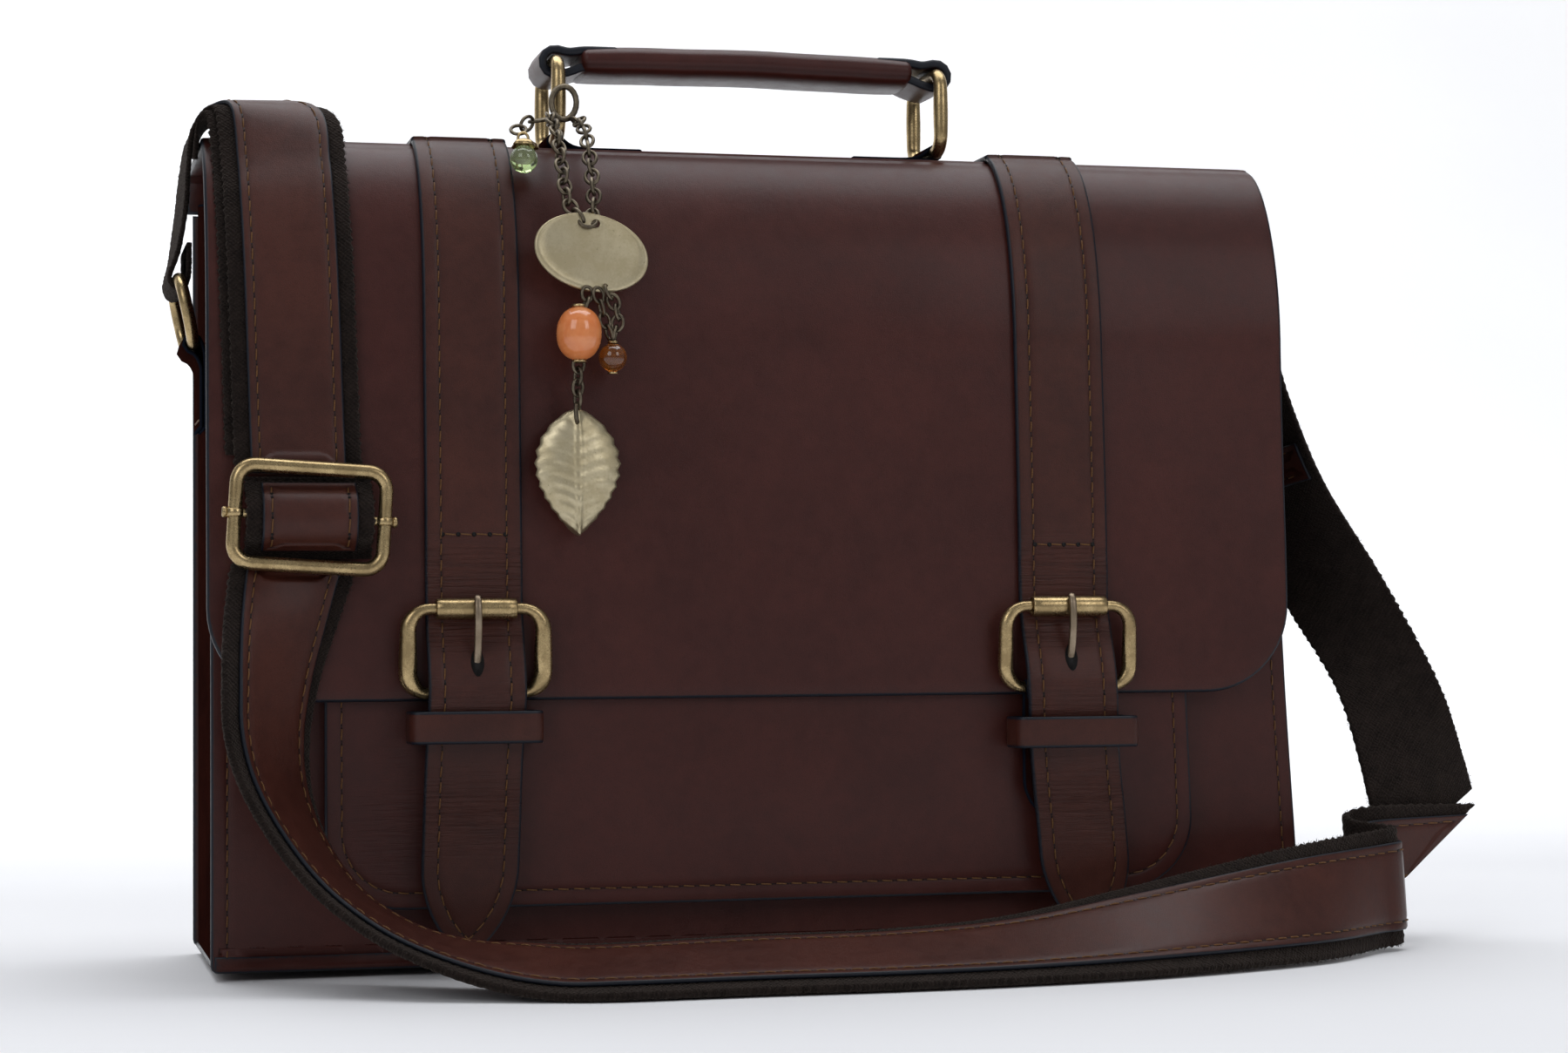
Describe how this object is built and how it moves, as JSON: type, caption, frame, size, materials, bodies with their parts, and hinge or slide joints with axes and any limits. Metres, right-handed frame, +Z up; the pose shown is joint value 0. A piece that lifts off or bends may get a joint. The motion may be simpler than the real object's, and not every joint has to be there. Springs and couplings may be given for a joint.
{
  "type": "satchel bag",
  "caption": "Stiff leather satchel with a buckled front flap over a patch pocket, a ring-hung top handle, a webbing shoulder strap with a slider, and a chain charm.",
  "frame": {"origin": "middle of the bag's footprint, on the surface that it stands on", "axes": "+Z up, +X towards the bag's right end seen from the front, -Y out of the front with the buckles"},
  "size_m": [0.4615, 0.1973, 0.311],
  "materials": {
    "shell_leather": "smooth glossy dark reddish-brown leather",
    "strap_leather": "smooth glossy brown leather, dark painted edges, golden thread",
    "dark_leather": "satin dark brown leather",
    "webbing": "dark brown woven cotton webbing with a fuzzy selvedge",
    "lining_cloth": "matte woven cotton lining",
    "antique_brass": "satin antique brass",
    "dark_brass": "dark antiqued brass",
    "orange_glass": "opaque glossy orange bead",
    "amber_glass": "dark amber glass",
    "green_glass": "pale green glass"
  },
  "bodies": {
    "case": {"front_panel": "shell_leather", "back_panel": "shell_leather", "base_panel": "shell_leather", "gusset_left": "shell_leather", "gusset_right": "shell_leather", "lining": "lining_cloth", "pocket_front": "shell_leather", "pocket_gusset": "dark_leather", "magnet_socket_left": "antique_brass", "magnet_socket_right": "antique_brass", "side_tab_left": "dark_leather", "side_tab_right": "dark_leather", "strap_side_webbing": "webbing", "strap_under_webbing": "webbing", "strap_upper_webbing": "webbing", "strap_upper_trim": "strap_leather", "strap_lower_webbing": "webbing", "strap_lower_trim": "strap_leather", "strap_floor_webbing": "webbing", "strap_floor_trim": "strap_leather", "strap_right_webbing": "webbing", "strap_right_trim": "strap_leather"},
    "flap": {"flap_panel": "shell_leather", "closing_strap_left": "strap_leather", "buckle_frame_left": "antique_brass", "buckle_tab_left": "dark_leather", "keeper_left": "strap_leather", "magnet_stud_left": "antique_brass", "handle_tab_left": "dark_leather", "closing_strap_right": "strap_leather", "buckle_frame_right": "antique_brass", "buckle_tab_right": "dark_leather", "keeper_right": "strap_leather", "magnet_stud_right": "antique_brass", "handle_tab_right": "dark_leather"},
    "roller_left": {"buckle_roller_left": "antique_brass"},
    "roller_right": {"buckle_roller_right": "antique_brass"},
    "prong_left": {"buckle_prong_left": "antique_brass"},
    "prong_right": {"buckle_prong_right": "antique_brass"},
    "ring_left": {"handle_ring_left": "antique_brass"},
    "ring_right": {"handle_ring_right": "antique_brass"},
    "handle": {"handle_strap": "strap_leather", "handle_grip": "strap_leather"},
    "charm": {"charm_chain_left": "dark_brass", "charm_chain_right": "dark_brass", "charm_chain_lower": "dark_brass", "charm_clasp": "dark_brass", "charm_green_bead": "green_glass", "charm_bead_cap": "antique_brass", "charm_tag": "antique_brass", "charm_orange_bead": "orange_glass", "charm_amber_bead": "amber_glass"},
    "leaf": {"charm_leaf": "antique_brass"},
    "side_ring_left": {"side_ring_left": "antique_brass"},
    "side_ring_right": {"side_ring_right": "antique_brass"},
    "slider": {"slider_frame": "antique_brass", "slider_bar": "antique_brass", "strap_window_webbing": "webbing", "strap_window_trim": "strap_leather"}
  },
  "joints": [
    {"name": "flap_hinge", "type": "hinge", "parent": "case", "child": "flap", "pos_m": [0, 0.0492, 0.2578], "axis": [-1, 0, 0], "range_deg": [0, 180], "deforming": ["strap_side_webbing", "strap_under_webbing", "strap_upper_webbing", "strap_upper_trim", "strap_lower_webbing", "strap_lower_trim"]},
    {"name": "prong_hinge_left", "type": "hinge", "parent": "flap", "child": "prong_left", "pos_m": [-0.1025, -0.0662, 0.091], "axis": [1, 0, 0], "range_deg": [0, 28]},
    {"name": "roller_spin_left", "type": "hinge", "parent": "flap", "child": "roller_left", "pos_m": [-0.1025, -0.0684, 0.118], "axis": [1, 0, 0], "continuous": true},
    {"name": "prong_hinge_right", "type": "hinge", "parent": "flap", "child": "prong_right", "pos_m": [0.097, -0.0662, 0.091], "axis": [1, 0, 0], "range_deg": [0, 28]},
    {"name": "roller_spin_right", "type": "hinge", "parent": "flap", "child": "roller_right", "pos_m": [0.097, -0.0684, 0.118], "axis": [1, 0, 0], "continuous": true},
    {"name": "handle_ring_left_hinge", "type": "hinge", "parent": "flap", "child": "ring_left", "pos_m": [-0.0674, -0.00735, 0.2776], "axis": [0, 1, 0], "range_deg": [-60, 60]},
    {"name": "handle_ring_right_hinge", "type": "hinge", "parent": "flap", "child": "ring_right", "pos_m": [0.0674, -0.00735, 0.2776], "axis": [0, 1, 0], "range_deg": [-60, 60]},
    {"name": "handle_hinge", "type": "hinge", "parent": "ring_left", "child": "handle", "pos_m": [-0.0674, -0.00735, 0.3044], "axis": [0, 1, 0], "range_deg": [-60, 60]},
    {"name": "charm_swing", "type": "hinge", "parent": "flap", "child": "charm", "pos_m": [-0.0674, -0.0242, 0.279], "axis": [0, 1, 0], "range_deg": [-12, 15]},
    {"name": "leaf_swing", "type": "hinge", "parent": "charm", "child": "leaf", "pos_m": [-0.0695, -0.069, 0.1826], "axis": [0, 1, 0], "range_deg": [-25, 25]},
    {"name": "side_ring_left_hinge", "type": "hinge", "parent": "case", "child": "side_ring_left", "pos_m": [-0.1886, 0, 0.2065], "axis": [0, -1, 0], "range_deg": [-10, 40], "deforming": ["strap_side_webbing"]},
    {"name": "side_ring_right_hinge", "type": "hinge", "parent": "case", "child": "side_ring_right", "pos_m": [0.1886, 0, 0.2065], "axis": [0, 1, 0], "range_deg": [-10, 40], "deforming": ["strap_right_webbing", "strap_right_trim"]},
    {"name": "slider_travel", "type": "slide", "parent": "case", "child": "slider", "axis": [0, 0, 1], "range_m": [-0.015, 0.015], "deforming": ["strap_under_webbing", "strap_upper_webbing", "strap_upper_trim", "strap_lower_webbing", "strap_lower_trim"]}
  ],
  "couplings": [
    {"joint": "handle_ring_right_hinge", "follows": "handle_ring_left_hinge", "ratio": 1},
    {"joint": "handle_hinge", "follows": "handle_ring_left_hinge", "ratio": -1}
  ]
}
